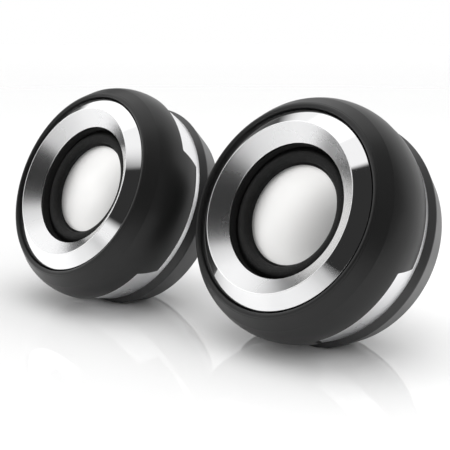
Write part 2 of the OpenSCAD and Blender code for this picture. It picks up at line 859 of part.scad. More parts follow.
at_right() front_shell(clock_right);  // right_front_shell
at_right() accent_band(clock_right);  // right_accent_band
at_right() rear_shell();  // right_rear_shell
at_right() back_panel(false);  // right_back_panel
at_right() trim_ring();  // right_trim_ring
at_right() foot_pad();  // right_foot_pad
at_right() driver_frame();  // right_driver_frame
at_right() frame_gasket();  // right_frame_gasket
at_right() foam_ring();  // right_foam_ring
at_right() dome();  // right_dome
at_right() cone();  // right_cone
at_right() surround();  // right_surround
at_right() voice_coil();  // right_voice_coil
at_right() spider();  // right_spider
at_right() top_plate();  // right_top_plate
at_right() magnet();  // right_magnet
at_right() pole_yoke();  // right_pole_yoke
at_right() driver_screws();  // right_driver_screws
at_right() case_screws();  // right_case_screws
at_right() panel_screws();  // right_panel_screws
at_right() terminal_strip();  // right_terminal_strip
at_right() driver_leads(lead_end_right);  // right_driver_leads
at_left() front_shell(clock_left);  // left_front_shell
at_left() accent_band(clock_left);  // left_accent_band
at_left() rear_shell();  // left_rear_shell
at_left() back_panel(true);  // left_back_panel
at_left() trim_ring();  // left_trim_ring
at_left() foot_pad();  // left_foot_pad
at_left() driver_frame();  // left_driver_frame
at_left() frame_gasket();  // left_frame_gasket
at_left() foam_ring();  // left_foam_ring
at_left() dome();  // left_dome
at_left() cone();  // left_cone
at_left() surround();  // left_surround
at_left() voice_coil();  // left_voice_coil
at_left() spider();  // left_spider
at_left() top_plate();  // left_top_plate
at_left() magnet();  // left_magnet
at_left() pole_yoke();  // left_pole_yoke
at_left() driver_screws();  // left_driver_screws
at_left() case_screws();  // left_case_screws
at_left() panel_screws();  // left_panel_screws
at_left() terminal_strip();  // left_terminal_strip
at_left() driver_leads(lead_end_left);  // left_driver_leads
at_left() jack(link_in_at);  // left_link_in_jack
at_right() amp_board();
at_right() amp_chip();
at_right() capacitors();
at_right() lead_header();
at_right() board_screws();
at_right() jack(audio_in_at);  // audio_in_jack
at_right() jack(link_out_at);  // link_out_jack
at_right() usb_power_socket();
at_right() volume_pot();
at_right() volume_shaft();
at_right() volume_knob();
at_right() switch_housing();
at_right() switch_slider();
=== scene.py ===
import json
import math

import bpy
import numpy as np
from mathutils import Matrix, Vector


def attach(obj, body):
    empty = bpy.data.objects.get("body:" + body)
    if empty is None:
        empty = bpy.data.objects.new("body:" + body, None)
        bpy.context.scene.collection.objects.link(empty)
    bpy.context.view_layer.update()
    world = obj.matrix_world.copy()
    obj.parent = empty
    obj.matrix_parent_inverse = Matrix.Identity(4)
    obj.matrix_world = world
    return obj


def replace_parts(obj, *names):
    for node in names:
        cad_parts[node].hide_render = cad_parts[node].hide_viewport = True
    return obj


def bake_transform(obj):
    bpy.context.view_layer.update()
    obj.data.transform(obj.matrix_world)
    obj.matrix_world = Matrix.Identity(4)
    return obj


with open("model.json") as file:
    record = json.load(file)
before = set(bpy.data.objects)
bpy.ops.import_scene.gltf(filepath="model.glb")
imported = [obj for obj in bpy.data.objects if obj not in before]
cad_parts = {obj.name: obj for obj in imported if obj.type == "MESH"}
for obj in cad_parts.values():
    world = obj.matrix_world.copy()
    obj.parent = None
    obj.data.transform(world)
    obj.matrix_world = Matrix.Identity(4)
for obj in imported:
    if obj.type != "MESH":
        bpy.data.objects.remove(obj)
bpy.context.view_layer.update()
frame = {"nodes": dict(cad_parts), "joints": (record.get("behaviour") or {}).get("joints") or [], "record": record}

# A pair of small desktop speakers. Lengths are millimetres about each speaker's own axis, as in the
# CAD source: z = 0 at the chrome ring's outer edge, +z out of the front. Depths are -z.
MM = 0.001
SIDES = ("right", "left")
AXIS_HEIGHT = 53.2
FOOT_BACK = 18.4
CLOCK = {"right": 70.2, "left": 94.6}

# Casing
BEAD_IN, BEAD_OUT = 38.76, 40.9
CREASE_R, CREASE_DEPTH, CREASE_ROUND = 44.4, 4.04, 0.5
BARREL_R, BARREL_DEPTH = 47.0, 14.3
TAB_END_R, TAB_END_DEPTH = 45.0, 25.3
TAB_ROOT_HALF, TAB_TIP_HALF = 35.2, 31.0
BAND_FRONT_R, BAND_FRONT_DEPTH = 46.4, 15.5
BAND_REAR_R, BAND_REAR_DEPTH = 44.1, 28.5
BAND_T, SEAM, SKIRT_T = 1.3, 0.25, 1.5
UNROLL = BAND_FRONT_R * math.pi / 180
GROOVE_DEPTH, SEAT_DEPTH, BAFFLE_DEPTH, BAFFLE_BACK = 3.0, 1.6, 9.0, 12.0
GROOVE_IN, SEAT_IN, BAFFLE_BORE, WALL_IN, WALL_DEPTH = 37.6, 35.2, 25.6, 39.6, 4.7
SPIGOT_FRONT, SPIGOT_WALL, PANEL_OPENING = 24.5, 1.7, 21.2
REAR_CREASE, REAR_TAPER = (45.8, 31.5), (42, 43.1)
RIM_R, BACK_DEPTH, PANEL_FRONT, PANEL_BACK, PANEL_R = 29.2, 55.2, 52.8, 54.8, 26.8
CASE_SCREW_R, CASE_HEAD_DEPTH, PANEL_SCREW_R, SCREW_TURN = 34.6, 36.0, 24.1, 90
TOWER_R, WELL_R = 3.8, 2.9
JACK_HOLE_R, SCREW_HOLE_R, POT_HOLE_R = 3.1, 1.2, 4.3
USB_HOLE, SWITCH_HOLE, HOLE_CORNER = (3.3, 8.3), (3, 6.4), 0.4
FOOT_SIZE, FOOT_CORNER, FOOT_T, FOOT_PROUD = (26.0, 17.0), 5.0, 1.6, 0.6
JACKS = {"right": [(-7, -11), (7, -11)], "left": [(0, -8)]}
POT_AT, USB_AT, SWITCH_AT = (0, 11), (14.5, 2), (-14.5, 1)

# Driver
RING_R, CREST_R, CREST_Z, BORE_R, BORE_DEPTH = 38.0, 32.46, 3.35, 25.8, 1.8
DOME_R, DOME_DEPTH, DOME_RISE, DOME_T = 19.7, 7.85, 2.4, 0.4
FRAME_DEPTH, FLANGE_R, FOAM_FRONT, FOAM_REAR = 7.0, 28.2, 3.02, 6.58
KNOB_R, KNOB_FRONT, KNOB_BACK, SHAFT_R = 7.5, 55.6, 61.6, 3.0
FLUTES, FLUTE_DEPTH, DIMPLE_R, DIMPLE_DEPTH = 24, 0.28, 0.6, 0.4

FRONT_ARC = ((BARREL_R - CREASE_R) ** 2 + (BARREL_DEPTH - CREASE_DEPTH) ** 2) / (2 * (BARREL_R - CREASE_R))
REAR_ARC = ((BARREL_R - TAB_END_R) ** 2 + (TAB_END_DEPTH - BARREL_DEPTH) ** 2) / (2 * (BARREL_R - TAB_END_R))

forward = Vector(next(j for j in frame["joints"] if j["name"] == "right_cone_travel")["axis"]).normalized()
sideways = Vector((1, 0, 0))
upward = forward.cross(sideways)


def ring_centre(side):
    """Centre of a speaker's chrome ring in the row frame, from its foot's mount."""
    foot = next(m for m in frame["record"]["mounts"] if m["name"] == side + "_foot")["pos_m"]
    return Vector(foot) + Vector((0, -FOOT_BACK, AXIS_HEIGHT)) * MM


def speaker_matrix(side):
    """From a speaker's own frame to the row frame."""
    m = Matrix((sideways, upward, forward)).transposed().to_4x4()
    m.translation = ring_centre(side)
    return m


# Meshes ---------------------------------------------------------------------------------------------

def make_object(name, points, faces, matrix, normals=None):
    """A mesh object in the row frame from points in millimetres in the frame of matrix. Its faces are turned
    to look outward."""
    points = np.asarray(points, float)
    first = points[[f[0] for f in faces]]
    volume = 0.0
    for i in range(1, max(len(f) for f in faces) - 1):
        rows = [k for k, f in enumerate(faces) if len(f) > i + 1]
        b = points[[faces[k][i] for k in rows]]
        c = points[[faces[k][i + 1] for k in rows]]
        volume += np.einsum("ij,ij->i", first[rows], np.cross(b, c)).sum()
    if volume < 0:
        faces = [tuple(reversed(f)) for f in faces]
    mesh = bpy.data.meshes.new(name)
    mesh.from_pydata((points * MM).tolist(), [], [tuple(int(v) for v in f) for f in faces])
    mesh.validate()
    mesh.shade_smooth()
    if normals is not None:
        mesh.normals_split_custom_set_from_vertices(np.asarray(normals, float).tolist())
    mesh.transform(matrix)
    obj = bpy.data.objects.new(name, mesh)
    bpy.context.scene.collection.objects.link(obj)
    return obj


def rounded(points, closed=True, step=12.0):
    """Rounds a polygon of (r, z, radius) corners. Gives positions and outward normals."""
    pts = [tuple(p) + (0.0,) * (3 - len(p)) for p in points]
    n = len(pts)
    xy = np.array([p[:2] for p in pts], float)
    area = 0.5 * float(np.sum(xy[:, 0] * np.roll(xy[:, 1], -1) - np.roll(xy[:, 0], -1) * xy[:, 1]))
    turn = 1.0 if area > 0 else -1.0
    out, normals = [], []

    def normal(a, b):
        d = (b - a) / np.linalg.norm(b - a)
        return np.array([turn * d[1], -turn * d[0]])

    for i in range(n):
        here = xy[i]
        if not closed and i in (0, n - 1):
            out.append(here)
            normals.append(normal(here, xy[1]) if i == 0 else normal(xy[n - 2], here))
            continue
        before, after = xy[i - 1], xy[(i + 1) % n]
        n0, n1 = normal(before, here), normal(here, after)
        radius = pts[i][2]
        angle = math.acos(max(-1.0, min(1.0, float(n0 @ n1))))
        if radius <= 0 or angle < 1e-3:
            out.append(here)
            normals.append((n0 + n1) / np.linalg.norm(n0 + n1))
            continue
        reach = radius * math.tan(angle / 2)
        d0 = (here - before) / np.linalg.norm(here - before)
        d1 = (after - here) / np.linalg.norm(after - here)
        convex = (d0[0] * d1[1] - d0[1] * d1[0]) * turn > 0
        steps = max(2, math.ceil(math.degrees(angle) / step))
        start = here - d0 * reach
        centre = start - n0 * radius if convex else start + n0 * radius
        for k in range(steps + 1):
            a = angle * k / steps
            blend = (math.sin(angle - a) * n0 + math.sin(a) * n1) / math.sin(angle)
            out.append(centre + blend * radius if convex else centre - blend * radius)
            normals.append(blend)
    return np.array(out), np.array(normals)


def grid_faces(columns, rows, close_rows):
    """Quads between the points of neighbouring columns, all the way round."""
    faces = []
    for c in range(columns):
        d = (c + 1) % columns
        for r in range(rows if close_rows else rows - 1):
            s = (r + 1) % rows
            faces.append((c * rows + r, d * rows + r, d * rows + s, c * rows + s))
    return faces


def lathe(name, corners, matrix, segments=192, closed=True, step=12.0, centre=(0, 0)):
    """Revolves a polygon of (r, z, radius) corners. An open one starts and ends on the axis."""
    profile, normals = rounded(corners, closed, step)
    angles = np.arange(segments) * 2 * math.pi / segments
    if closed:
        ring, ring_n = profile, normals
    else:
        ring, ring_n = profile[1:-1], normals[1:-1]
    rows = len(ring)
    cos, sin = np.cos(angles)[:, None], np.sin(angles)[:, None]
    flat = np.stack([cos * ring[:, 0], sin * ring[:, 0], np.broadcast_to(ring[:, 1], (segments, rows))], -1)
    flat_n = np.stack([cos * ring_n[:, 0], sin * ring_n[:, 0],
                       np.broadcast_to(ring_n[:, 1], (segments, rows))], -1)
    points, all_n = flat.reshape(-1, 3), flat_n.reshape(-1, 3)
    faces = grid_faces(segments, rows, closed)
    if not closed:
        top, bottom = len(points), len(points) + 1
        points = np.vstack([points, [0, 0, profile[0][1]], [0, 0, profile[-1][1]]])
        up = np.sign(normals[0][1]) or 1.0
        all_n = np.vstack([all_n, [0, 0, up], [0, 0, -up]])
        for c in range(segments):
            d = (c + 1) % segments
            faces.append((top, d * rows, c * rows))
            faces.append((bottom, c * rows + rows - 1, d * rows + rows - 1))
    points = points + np.array([centre[0], centre[1], 0.0])
    return make_object(name, points, faces, matrix, all_n)


def arc_points(c_r, c_z, radius, a0, a1, steps):
    """Points (r, z) along an arc, from angle a0 to a1 in degrees."""
    return [(c_r + radius * math.cos(math.radians(a0 + (a1 - a0) * i / steps)),
             c_z + radius * math.sin(math.radians(a0 + (a1 - a0) * i / steps))) for i in range(steps + 1)]


def barrel_at(depth):
    """Radius of the front casing's barrel behind its widest place."""
    return BARREL_R - REAR_ARC + np.sqrt(REAR_ARC ** 2 - (np.asarray(depth) - BARREL_DEPTH) ** 2)


def barrel_slope(depth):
    behind = np.asarray(depth) - BARREL_DEPTH
    return -behind / np.sqrt(REAR_ARC ** 2 - behind ** 2)


BAND_SLOPE = (BAND_REAR_R - BAND_FRONT_R) / (BAND_REAR_DEPTH - BAND_FRONT_DEPTH)


def band_at(depth):
    """Radius of the accent band."""
    return BAND_FRONT_R + BAND_SLOPE * (np.asarray(depth) - BAND_FRONT_DEPTH)


def castellation(clock, corner=0.7, along=1.2, across=0.45):
    """The front casing's rear edge, unrolled: positions (arc length, depth) and the way out of the casing."""
    corners = []
    for k in range(3):
        middle = 90 - clock + 120 * k
        for half, depth in ((-TAB_ROOT_HALF, BAND_FRONT_DEPTH), (-TAB_TIP_HALF, TAB_END_DEPTH),
                            (TAB_TIP_HALF, TAB_END_DEPTH), (TAB_ROOT_HALF, BAND_FRONT_DEPTH)):
            corners.append(np.array([(middle + half) * UNROLL, depth]))
    whole = np.array([360 * UNROLL, 0.0])
    n = len(corners)
    spots, ways = [], []
    for i in range(n):
        here = corners[i]
        before = corners[i - 1] if i else corners[-1] - whole
        after = corners[i + 1] if i + 1 < n else corners[0] + whole
        beyond = corners[i + 2] if i + 2 < n else corners[(i + 2) % n] + whole
        d0 = (here - before) / np.linalg.norm(here - before)
        d1 = (after - here) / np.linalg.norm(after - here)
        d2 = (beyond - after) / np.linalg.norm(beyond - after)
        angle = math.acos(float(d0 @ d1))
        reach = corner * math.tan(angle / 2)
        start = here - d0 * reach
        sign = 1.0 if d0[0] * d1[1] - d0[1] * d1[0] > 0 else -1.0
        m0, m1 = np.array([-d0[1], d0[0]]), np.array([-d1[1], d1[0]])
        centre = start + sign * m0 * corner
        for k in range(7):
            a = angle * k / 6
            way = (math.sin(angle - a) * m0 + math.sin(a) * m1) / math.sin(angle)
            spots.append(centre - sign * way * corner)
            ways.append(way)
        end = here + d1 * reach
        stop = after - d1 * (corner * math.tan(math.acos(float(d1 @ d2)) / 2))
        length = np.linalg.norm(stop - end)
        steps = max(1, round(length / (across if abs(d1[1]) > 0.5 else along)))
        for k in range(1, steps):
            spots.append(end + (stop - end) * k / steps)
            ways.append(m1)
    return np.array(spots), np.array(ways)


def on_surface(arc, depth, radius, slope):
    """Point and frame on a surface of revolution: arc length and depth to space, with its normal."""
    theta = np.radians(arc / UNROLL)
    e_r = np.stack([np.cos(theta), np.sin(theta), np.zeros_like(theta)], -1)
    e_t = np.stack([-np.sin(theta), np.cos(theta), np.zeros_like(theta)], -1)
    long = np.sqrt(1 + slope ** 2)[..., None]
    z = np.zeros_like(e_r)
    z[..., 2] = 1.0
    point = e_r * radius[..., None] - z * depth[..., None]
    normal = (e_r + z * slope[..., None]) / long
    rearward = (e_r * slope[..., None] - z) / long
    return point, normal, e_t, rearward


def front_shell(side):
    """Front casing: ring groove, bead, facet, barrel and its three castellated tabs, over a skirt."""
    spots, ways = castellation(CLOCK[side])
    edge = 0.3
    inner = spots - ways * edge
    count = len(spots)
    skirt_front, skirt_rear = BAND_FRONT_R - BAND_T, BAND_REAR_R - BAND_T
    bead_c, bead_r = (BEAD_IN + BEAD_OUT) / 2 - 0.08, (BEAD_OUT - BEAD_IN) / 2 + 0.03
    front = [(skirt_rear, -BAND_REAR_DEPTH, 0.2), (skirt_rear - SKIRT_T, -BAND_REAR_DEPTH, 0.2),
             (skirt_front - SKIRT_T, -BAND_FRONT_DEPTH), (CREASE_R, 0.8 - BARREL_DEPTH),
             (CREASE_R - 1.4, -7.6), (BEAD_OUT, -WALL_DEPTH), (WALL_IN, -WALL_DEPTH), (WALL_IN, -BAFFLE_BACK),
             (BAFFLE_BORE, -BAFFLE_BACK, 0.2), (BAFFLE_BORE, -BAFFLE_DEPTH, 0.2), (SEAT_IN, -BAFFLE_DEPTH),
             (SEAT_IN, -SEAT_DEPTH, 0.1), (GROOVE_IN, -SEAT_DEPTH, 0.1), (GROOVE_IN, -GROOVE_DEPTH),
             (BEAD_IN, -GROOVE_DEPTH)]
    front += arc_points(bead_c, -0.05, bead_r, 160, 20, 12)
    front += [(BEAD_OUT + 0.04, 0.28, 0.12)]
    arc_start = math.degrees(math.asin((BARREL_DEPTH - CREASE_DEPTH) / FRONT_ARC))
    barrel = arc_points(BARREL_R - FRONT_ARC, -BARREL_DEPTH, FRONT_ARC, arc_start, 0, 14)
    front += [(barrel[0][0], barrel[0][1], CREASE_ROUND)] + barrel[1:]
    # the way round is fixed by closing the outline behind the barrel
    outline = front + [(BARREL_R - 0.1, -BAND_FRONT_DEPTH)]
    profile, profile_n = rounded(outline, True)
    profile, profile_n = profile[:-1], profile_n[:-1]
    profile_n[-1] = (1, 0)
    cut = next(i for i, (r, z) in enumerate(profile) if z > -GROOVE_DEPTH - 0.01 and r > BEAD_IN - 0.26)
    theta_in = np.radians(inner[:, 0] / UNROLL)
    theta_out = np.radians(spots[:, 0] / UNROLL)
    points, normals = [], []
    for i, (p, q) in enumerate(zip(profile, profile_n)):
        theta = theta_in if i >= cut else theta_out
        points.append(np.stack([p[0] * np.cos(theta), p[0] * np.sin(theta), np.full(count, p[1])], -1))
        normals.append(np.stack([q[0] * np.cos(theta), q[0] * np.sin(theta), np.full(count, q[1])], -1))
    rows_behind = 14
    for k in range(1, rows_behind + 1):
        depth = BARREL_DEPTH + (inner[:, 1] - BARREL_DEPTH) * k / rows_behind
        point, normal, e_t, rearward = on_surface(inner[:, 0], depth, barrel_at(depth), barrel_slope(depth))
        points.append(point)
        normals.append(normal)
    out = e_t * ways[:, :1] + rearward * ways[:, 1:]
    for a in np.radians([22.5, 45, 67.5, 90]):
        points.append(point - normal * edge + edge * (math.cos(a) * normal + math.sin(a) * out))
        normals.append(math.cos(a) * normal + math.sin(a) * out)
    foot = points[-1].copy()
    depth = -foot[:, 2]
    floor_r = band_at(depth) - BAND_T
    scale = floor_r / np.hypot(foot[:, 0], foot[:, 1])
    foot[:, 0] *= scale
    foot[:, 1] *= scale
    points.append(foot)
    normals.append(out)
    stack, stack_n = np.stack(points, 1), np.stack(normals, 1)
    rows = stack.shape[1]
    return make_object(side + "_casing_front", stack.reshape(-1, 3), grid_faces(count, rows, True),
                       speaker_matrix(side), stack_n.reshape(-1, 3))


def accent_band(side):
    """The satin band: wide between the tabs and narrow behind them, with polished chamfers."""
    spots, ways = castellation(CLOCK[side])
    bevel = 0.28
    front = spots + ways * SEAM
    inner = spots + ways * (SEAM + bevel)
    count = len(spots)
    slope = np.full(count, BAND_SLOPE)
    points, normals, polished = [], [], []
    base, base_n, e_t, rearward = on_surface(inner[:, 0], inner[:, 1], band_at(inner[:, 1]), slope)
    out = -(e_t * ways[:, :1] + rearward * ways[:, 1:])
    low = on_surface(front[:, 0], front[:, 1], band_at(front[:, 1]) - BAND_T + 0.05, slope)[0]
    points.append(low)
    normals.append(out)
    polished.append(False)
    for a in np.radians([90, 67.5, 45, 22.5, 0]):
        points.append(base - base_n * bevel + bevel * (math.cos(a) * base_n + math.sin(a) * out))
        normals.append(math.cos(a) * base_n + math.sin(a) * out)
        polished.append(a > 0)
    last = BAND_REAR_DEPTH - bevel
    for k in range(1, 5):
        depth = inner[:, 1] + (last - inner[:, 1]) * k / 4
        point, normal, _, rear = on_surface(inner[:, 0], depth, band_at(depth), slope)
        points.append(point)
        normals.append(normal)
        polished.append(k == 4)
    for a in np.radians([22.5, 45, 67.5, 90]):
        points.append(point - normal * bevel + bevel * (math.cos(a) * normal + math.sin(a) * rear))
        normals.append(math.cos(a) * normal + math.sin(a) * rear)
        polished.append(a < math.pi / 2)
    end = np.full(count, BAND_REAR_DEPTH - 0.02)
    points.append(on_surface(inner[:, 0], end, band_at(end) - BAND_T + 0.05, slope)[0])
    normals.append(-normal)
    polished.append(False)
    rows = len(points)
    obj = make_object(side + "_band", np.stack(points, 1).reshape(-1, 3), grid_faces(count, rows, True),
                      speaker_matrix(side), np.stack(normals, 1).reshape(-1, 3))
    for polygon in obj.data.polygons:
        row = min(v % rows for v in polygon.vertices)
        if polished[row] and max(v % rows for v in polygon.vertices) == row + 1:
            polygon.material_index = 1
    return obj


def boolean(target, tool, operation="DIFFERENCE"):
    """Cuts or joins target with tool, keeps the result as target's mesh and removes tool."""
    modifier = target.modifiers.new("boolean", "BOOLEAN")
    modifier.operation, modifier.solver, modifier.object = operation, "EXACT", tool
    bpy.context.view_layer.update()
    graph = bpy.context.evaluated_depsgraph_get()
    mesh = bpy.data.meshes.new_from_object(target.evaluated_get(graph))
    target.modifiers.clear()
    target.data = mesh
    bpy.data.objects.remove(tool)
    mesh.shade_smooth()
    mesh.set_sharp_from_angle(angle=math.radians(34))


def prism(name, outline, low, high, matrix, rim=0.0):
    """A straight prism over an outline of (x, y) points, its two rims rounded."""
    outline = np.asarray(outline, float)
    centre = outline.mean(0)
    levels = [(low, rim)] if rim == 0 else []
    for k in range(4 if rim else 0):
        a = math.radians(90 * k / 3)
        levels.append((low + rim * (1 - math.sin(a)), rim * (1 - math.cos(a))))
    levels = sorted(levels) if rim else [(low, 0.0)]
    levels += [(low + high - z, inset) for z, inset in reversed(levels)]
    size = np.abs(outline - centre).max()
    points = []
    for z, inset in levels:
        ring = centre + (outline - centre) * (1 - inset / size)
        points += [(x, y, z) for x, y in ring]
    count, rows = len(outline), len(levels)
    faces = []
    for r in range(rows - 1):
        for c in range(count):
            d = (c + 1) % count
            faces.append((r * count + c, r * count + d, (r + 1) * count + d, (r + 1) * count + c))
    faces.append(tuple(range(count - 1, -1, -1)))
    faces.append(tuple(range((rows - 1) * count, rows * count)))
    obj = make_object(name, points, faces, matrix)
    obj.data.set_sharp_from_angle(angle=math.radians(40))
    return obj


def round_rectangle(w, h, corner, centre=(0, 0), steps=10):
    """Outline of a rectangle with round corners."""
    points = []
    for k, (sx, sy) in enumerate(((1, 1), (-1, 1), (-1, -1), (1, -1))):
        for i in range(steps + 1):
            a = math.radians(90 * k + 90 * i / steps)
            points.append((centre[0] + sx * (w / 2 - corner) + corner * math.cos(a),
                           centre[1] + sy * (h / 2 - corner) + corner * math.sin(a)))
    return points


def disc(radius, count=48, centre=(0, 0)):
    """Outline of a circle."""
    return [(centre[0] + radius * math.cos(2 * math.pi * i / count),
             centre[1] + radius * math.sin(2 * math.pi * i / count)) for i in range(count)]


def places(count, radius, turn):
    """Middles of pieces spread evenly on a circle."""
    return [(radius * math.cos(math.radians(turn + 360 * i / count)),
             radius * math.sin(math.radians(turn + 360 * i / count))) for i in range(count)]


def join(objects, name):
    """One object from several."""
    points, faces = [], []
    for o in objects:
        start = len(points)
        points += [tuple(v.co / MM) for v in o.data.vertices]
        faces += [tuple(start + v for v in p.vertices) for p in o.data.polygons]
    for o in objects:
        bpy.data.objects.remove(o)
    return make_object(name, points, faces, Matrix.Identity(4))


def second_material(obj, side, chosen):
    """Gives the second material to the faces whose middle, as (radius, z) in millimetres, is chosen."""
    to_local = speaker_matrix(side).inverted()
    for polygon in obj.data.polygons:
        middle = to_local @ polygon.center / MM
        if chosen(math.hypot(middle.x, middle.y), middle.z):
            polygon.material_index = 1


def desk_matrix(side):
    """The desk's frame under a speaker: z = 0 is the desk, y = 0 the middle of the foot."""
    foot = ring_centre(side)
    return Matrix.Translation((foot.x, foot.y + FOOT_BACK * MM, 0))


def rear_shell(side):
    """Rear casing: two creases and a taper, hollow, with screw towers, a flat base and a foot pocket."""
    m = speaker_matrix(side)
    spigot = BAND_REAR_R - BAND_T - SKIRT_T - 0.2
    start = BAND_REAR_DEPTH + SEAM
    shell = lathe(side + "_casing_rear", [
        (0, -SPIGOT_FRONT), (spigot, -SPIGOT_FRONT, 0.2), (spigot, -start), (BAND_REAR_R - 0.2, -start, 0.25),
        (REAR_CREASE[0], -REAR_CREASE[1], 0.9), (REAR_TAPER[0], -REAR_TAPER[1], 1.6),
        (RIM_R + 0.4, 1.7 - BACK_DEPTH, 0.6), (RIM_R - 0.4, -BACK_DEPTH, 0.4),
        (PANEL_R + 0.15, -BACK_DEPTH, 0.25), (PANEL_R + 0.15, -PANEL_FRONT), (0, -PANEL_FRONT)], m, 160, False)
    hollow = lathe(side + "_hollow", [
        (0, 1 - SPIGOT_FRONT), (spigot - SPIGOT_WALL, 1 - SPIGOT_FRONT),
        (spigot - SPIGOT_WALL, 0.8 - REAR_CREASE[1]),
        (REAR_CREASE[0] - 2.6, -REAR_CREASE[1] - 0.6), (REAR_TAPER[0] - 2.2, 1.1 - REAR_TAPER[1]),
        (RIM_R + 2.2, 4 - PANEL_FRONT), (PANEL_OPENING, 4 - PANEL_FRONT), (PANEL_OPENING, -PANEL_FRONT - 1),
        (0, -PANEL_FRONT - 1)], m, 96, False)
    towers = join([prism("tower", disc(TOWER_R, 32, c), -58, -22, m)
                   for c in places(3, CASE_SCREW_R, SCREW_TURN)], side + "_towers")
    boolean(hollow, towers)
    boolean(shell, hollow)
    wells = join([prism("well", disc(WELL_R, 40, c), -60, -CASE_HEAD_DEPTH, m)
                  for c in places(3, CASE_SCREW_R, SCREW_TURN)], side + "_wells")
    boolean(shell, wells)
    desk = desk_matrix(side)
    boolean(shell, prism(side + "_under", round_rectangle(140, 160, 1), -40, FOOT_PROUD, desk))
    pocket = round_rectangle(FOOT_SIZE[0] + 0.2, FOOT_SIZE[1] + 0.2, FOOT_CORNER + 0.1)
    boolean(shell, prism(side + "_pocket", pocket, FOOT_PROUD - 1, FOOT_T, desk))
    return shell


def back_panel(side):
    """Flat round panel with the holes for its screws, sockets and controls."""
    m = speaker_matrix(side)
    panel = lathe(side + "_panel", [(0, -PANEL_FRONT), (PANEL_R, -PANEL_FRONT, 0.2),
                                    (PANEL_R, -PANEL_BACK, 0.35), (0, -PANEL_BACK)], m, 128, False)
    outlines = [disc(JACK_HOLE_R, 40, c) for c in JACKS[side]]
    outlines += [disc(SCREW_HOLE_R, 24, c) for c in places(3, PANEL_SCREW_R, SCREW_TURN)]
    if side == "right":
        outlines.append(disc(POT_HOLE_R, 48, POT_AT))
        outlines.append(round_rectangle(*USB_HOLE, HOLE_CORNER, USB_AT))
        outlines.append(round_rectangle(*SWITCH_HOLE, HOLE_CORNER, SWITCH_AT))
    boolean(panel, join([prism("hole", outline, -57, -50, m) for outline in outlines], side + "_holes"))
    return panel


def foot_pad(side):
    """Rubber foot in the casing's flat."""
    return prism(side + "_foot", round_rectangle(FOOT_SIZE[0], FOOT_SIZE[1], FOOT_CORNER), 0, FOOT_T,
                 desk_matrix(side), 0.35)


def trim_ring(side):
    """Bright outer facet and crest, with a satin funnel inside them."""
    rear = -BORE_DEPTH - 1.2
    ring = lathe(side + "_chrome_ring", [
        (RING_R, 0, 0.22), (CREST_R, CREST_Z, 0.4), (BORE_R, -BORE_DEPTH, 0.32), (BORE_R, rear, 0.1),
        (BORE_R + 1.4, rear, 0.1), (CREST_R, CREST_Z - 2.2), (37, -SEAT_DEPTH), (RING_R, -SEAT_DEPTH, 0.1)],
        speaker_matrix(side), 256, True, 6.0)
    second_material(ring, side, lambda r, z: BORE_R + 0.3 < r < CREST_R - 0.3)
    return ring


def foam_ring(side):
    """Foam wall between the chrome ring and the driver."""
    return lathe(side + "_foam", [(FLANGE_R, -FOAM_FRONT, 0.2), (BORE_R + 0.1, -FOAM_FRONT, 0.4),
                                  (BORE_R + 0.1, -FOAM_REAR, 0.4), (FLANGE_R, -FOAM_REAR, 0.2)],
                 speaker_matrix(side), 192)


def dome(side):
    """Aluminium dome with a rolled, polished rim."""
    radius = (DOME_R ** 2 + DOME_RISE ** 2) / (2 * DOME_RISE)
    half = math.degrees(math.asin((DOME_R - 0.42) / radius))
    centre = DOME_RISE - DOME_DEPTH - radius
    top = arc_points(0, centre, radius, 90, 90 - half, 24)
    under = arc_points(0, centre, radius - DOME_T, 90 - half, 90, 12)
    corners = top[:-1] + [(top[-1][0], top[-1][1], 0.3), (DOME_R, -DOME_DEPTH - 0.12, 0.2),
                          (DOME_R, -DOME_DEPTH - DOME_T, 0.1), (DOME_R - 0.9, -DOME_DEPTH - DOME_T)] + under
    obj = lathe(side + "_dome_cap", corners, speaker_matrix(side), 192, False, 12.0)
    second_material(obj, side, lambda r, z: r > DOME_R - 0.5)
    return obj


SURROUND_OUT, SURROUND_IN, SHEET = 24.7, DOME_R + 0.5, 0.4
ROLL_R, ROLL_AT = (SURROUND_OUT - SURROUND_IN) / 2, (SURROUND_OUT + SURROUND_IN) / 2


def surround_half(side, part):
    """Half of the rolled surround, split at its crest."""
    level = SHEET - FRAME_DEPTH
    if part == "outer":
        corners = [(FLANGE_R, -FRAME_DEPTH), (FLANGE_R, level)] + arc_points(ROLL_AT, level, ROLL_R, 0, 90, 16)
        corners += arc_points(ROLL_AT, level, ROLL_R - SHEET, 90, 4, 16)
        corners += [(SURROUND_OUT - SHEET, -FRAME_DEPTH)]
    else:
        top = DOME_DEPTH + DOME_T
        corners = arc_points(ROLL_AT, level, ROLL_R, 90, 180, 16)
        corners += [(SURROUND_IN, -top), (DOME_R - 1.2, -top), (DOME_R - 1.2, -top - SHEET),
                    (SURROUND_IN + SHEET, -top - SHEET)]
        corners += arc_points(ROLL_AT, level, ROLL_R - SHEET, 180, 90, 16)
    obj = lathe(side + "_surround_" + part, corners, speaker_matrix(side), 192)
    if part == "outer":
        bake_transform(obj)
    else:
        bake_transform(obj)
    return obj


SPIDER_IN, SPIDER_OUT, SPIDER_T, SPIDER_LEVEL = 10.35, 22.2, 0.35, -14.45
SPIDER_FLAT, SPIDER_WAVE, SPIDER_WAVES, SPIDER_RINGS = 1.2, 0.5, 4, 12


